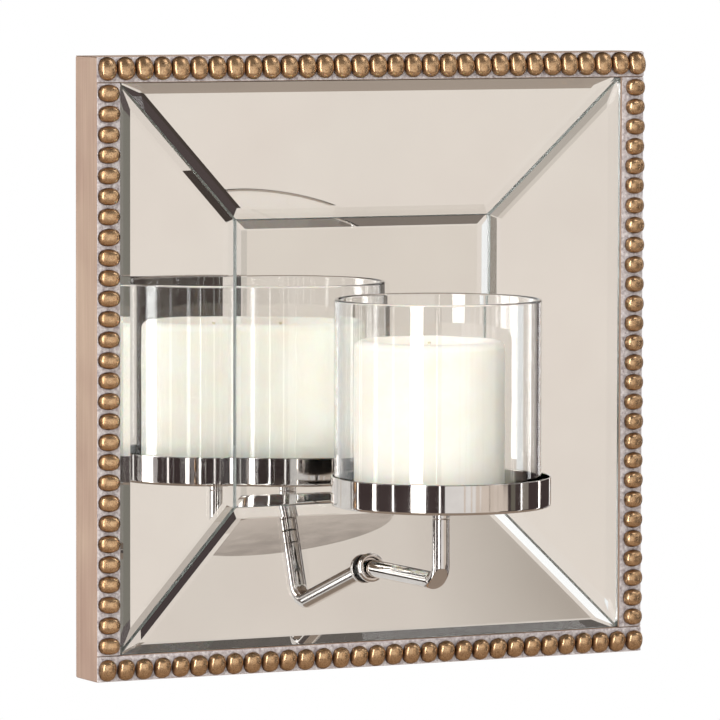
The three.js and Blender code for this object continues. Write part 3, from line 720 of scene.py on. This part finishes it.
# ---- studio ----
# What mirrors, chrome and glass show of the studio, by direction in degrees. Azimuth is nought straight ahead
# of the sconce and grows to the right of someone who faces it. Height is nought when level and grows upwards.
CARD, GAP, PALE, WHITE, BLACK = "ECE1D7", "4A4040", "F4F0EC", "FFFFFF", "000000"
EARTH, CEILING, DUSK, UMBER = "A6978A", "55504C", "9A8E82", "3E3632"
WALLS = [(-180, PALE), (-138, GAP), (-24.6, WHITE), (8.4, CARD), (35.5, GAP), (138, PALE)]
HEIGHTS = [(-90, EARTH), (-23.5, WHITE), (14, PALE), (23, CEILING)]
WALL_HEIGHT = [(-90, BLACK), (-23.5, WHITE), (14, BLACK)]
DUSK_ACROSS = [(25.5, "6A6A6A"), (27.7, "767676"), (28.4, "8C8C8C"), (28.9, "AAAAAA"), (29.3, "D6D6D6"),
               (29.8, WHITE), (35.4, WHITE), (35.5, BLACK)]
DUSK_UP = [(8.4, BLACK), (10.0, "F0F0F0"), (11.2, WHITE), (13.9, WHITE), (14.0, BLACK)]

# Colour, azimuth from and to, height from and to. A later card covers an earlier one.
CARDS = (
    (CARD, 35.5, 46, -7.75, -0.75),        # left mirror
    (CARD, -4.3, -2.4, -7.5, -1),          # wall of the dish
    (CARD, 3, 4.8, -7.5, -1),
    ("E5DACF", 25.8, 28.6, -7.3, -2.6),    # centre mirror
    ("D6CBC0", 14.3, 15.5, -7.4, -5.9),    # right mirror, upper corner bevel
    ("B9AFA5", 20.2, 21.7, -12.6, -10.9),
    ("857869", 23.6, 24.5, -6.5, -1),      # right mirror, inner bevel
    ("CFC5BA", 33.2, 33.9, -6.2, -1.8),    # left mirror, inner bevel
    ("DDD3CA", 24, 33, 15.5, 19),          # bottom mirror, outer bevel
    ("7A7068", 26.8, 31, -17.6, -16.5),    # centre mirror, upper bevel
    (UMBER, 31.2, 32.9, -15.2, -13.5),     # top and left mirrors, corner bevel
    (UMBER, 33.2, 35.5, -13.4, -12.2),
    ("4A423D", 40, 46.1, -4.95, -3.33),    # through the glass, above the candle
    ("B9AFA7", 25.5, 29.5, -11.4, -9.9),   # centre mirror, upper bevel
    ("CBC0B6", 32.7, 34.2, 2.6, 4.4),      # left mirror, lower corner bevel
    ("76736A", 50, 56, -8, -1),            # left mirror, outer bevel
    ("948F87", 66, 76, -8, -1),
)
# Azimuth from and to, height from and to, and strength.
LAMPS = ((17.8, 19.6, 1, 3.2, 1.15), (13, 14.3, -5.8, -1.4, 1.05), (-59, -44.5, -20, 46, 9),
         (38, 60, 34, 54, 3))
# Tall narrow lamps for the long lights in chrome and glass: azimuth from and to, and strength.
STRIP_LAMPS = ((-126, -124.4, 3), (-104, -99.8, 4), (-80, -78.4, 3), (-29.8, -28.6, 3), (64.2, 65.8, 3),
               (95.5, 98.5, 4), (128.2, 129.8, 3))
STRIP_LOW, STRIP_HIGH = -22, 40
SOFT_LIGHT = 0.6


def directions(tree):
    """Azimuth and height of the direction looked in, in radians."""
    toward = put(tree, "TexCoord").outputs["Generated"]
    split = put(tree, "SeparateXYZ", {"Vector": toward})
    ahead = put(tree, "Math", {0: split.outputs["Y"], 1: -1.0}, operation="MULTIPLY")
    azimuth = put(tree, "Math", {0: split.outputs["X"], 1: ahead.outputs[0]}, operation="ARCTAN2")
    height = put(tree, "Math", {0: split.outputs["Z"]}, operation="ARCSINE")
    return azimuth.outputs[0], height.outputs[0]


def bands(tree, angle, marks, reach, blend="CONSTANT"):
    """Tones that change at given degrees of an angle, which runs from -reach to reach."""
    limit = math.radians(reach)
    part = put(tree, "MapRange", {"Value": angle, "From Min": -limit, "From Max": limit})
    made = put(tree, "ValToRGB", {"Fac": part.outputs["Result"]},
               stops=[((mark + reach) / (2 * reach), linear(code)) for mark, code in marks])
    made.color_ramp.interpolation = blend
    return made.outputs["Color"]


def between(tree, angle, start, end):
    """One where an angle is between two numbers of degrees, else nought."""
    centre, half = math.radians((start + end) / 2), math.radians((end - start) / 2)
    return put(tree, "Math", {0: angle, 1: centre, 2: half}, operation="COMPARE").outputs[0]


def over(tree, mask, under, colour):
    """A colour laid over what is there already, as far as a mask says."""
    return put(tree, "Mix", {0: mask, 6: under, 7: colour}, data_type="RGBA").outputs[2]


def surroundings(tree):
    """Walls, earth, ceiling, cards and lamps, as a colour by direction."""
    azimuth, height = directions(tree)

    def patch(under, code, left, right, low, high, glow=1.0):
        """A card or lamp over what is there already."""
        sides = {0: between(tree, azimuth, left, right), 1: between(tree, height, low, high)}
        inside = put(tree, "Math", sides, operation="MULTIPLY").outputs[0]
        return over(tree, inside, under, [c * glow for c in linear(code)])

    walls, heights = bands(tree, azimuth, WALLS, 180), bands(tree, height, HEIGHTS, 90)
    seen = over(tree, bands(tree, height, WALL_HEIGHT, 90), heights, walls)
    across = bands(tree, azimuth, DUSK_ACROSS, 180, "LINEAR")
    upward = bands(tree, height, DUSK_UP, 90, "LINEAR")
    dusk = put(tree, "Math", {0: across, 1: upward}, operation="MULTIPLY").outputs[0]
    seen = over(tree, dusk, seen, linear(DUSK))
    for card in CARDS:
        seen = patch(seen, *card)
    for left, right, glow in STRIP_LAMPS:
        seen = patch(seen, WHITE, left, right, STRIP_LOW, STRIP_HIGH, glow)
    for lit in LAMPS:
        seen = patch(seen, WHITE, *lit)
    return seen


def studio_world():
    """Plain white to the camera, soft even light on surfaces, and the surroundings in reflections."""
    world = bpy.data.worlds.new("studio")
    bpy.context.scene.world = world
    world.use_nodes = True
    tree = world.node_tree
    tree.nodes.clear()
    output = put(tree, "OutputWorld")
    sharp = put(tree, "Background", {"Color": surroundings(tree), "Strength": 1.0})
    soft = put(tree, "Background", {"Color": linear(WHITE), "Strength": SOFT_LIGHT})
    backdrop = put(tree, "Background", {"Color": linear(WHITE), "Strength": 1.0})
    path = put(tree, "LightPath")
    lit = put(tree, "MixShader", {0: path.outputs["Is Diffuse Ray"], 1: sharp.outputs["Background"],
                                  2: soft.outputs["Background"]})
    mixed = put(tree, "MixShader", {0: path.outputs["Is Camera Ray"], 1: lit.outputs["Shader"],
                                    2: backdrop.outputs["Background"]})
    show(tree, output, mixed.outputs["Shader"])


def lamp(name, place, target, size, power):
    """A soft rectangular lamp that only lights surfaces and shows in nothing."""
    data = bpy.data.lights.new(name, "AREA")
    data.shape, data.size, data.size_y, data.energy = "RECTANGLE", size[0], size[1], power
    made = bpy.data.objects.new(name, data)
    made.location = place
    made.rotation_euler = (Vector(target) - Vector(place)).to_track_quat("-Z", "Y").to_euler()
    made.visible_glossy = made.visible_camera = made.visible_transmission = False
    bpy.context.scene.collection.objects.link(made)


FLOOR_R, FLOOR_Z = 1.4, -0.6


def floor():
    """A plain pale round floor under the sconce, kept out of its reflections."""
    bpy.ops.mesh.primitive_circle_add(vertices=96, radius=FLOOR_R, fill_type="NGON",
                                      location=(0, 0, FLOOR_Z))
    made = bpy.context.object
    made.name = "floor"
    look, tree, output = blank("pale_floor")
    paint = put(tree, "BsdfDiffuse", {"Color": linear("E8E5E1")})
    show(tree, output, paint.outputs["BSDF"])
    made.data.materials.append(look)
    made.visible_glossy = made.visible_transmission = False


studio_world()
lamp("key", (-1.6, -2.2, 1.6), (0, 0, 0), (1.4, 1.4), 30)
lamp("fill", (1.8, -2.4, 0.4), (0, 0, 0), (1.6, 1.6), 8)
lamp("bounce", (0, -0.03, 0.0), (0, -1, 0), (0.24, 0.2), 0.2)
floor()
settings = bpy.context.scene.view_settings
settings.view_transform, settings.look, settings.exposure = "Standard", "None", 0.0
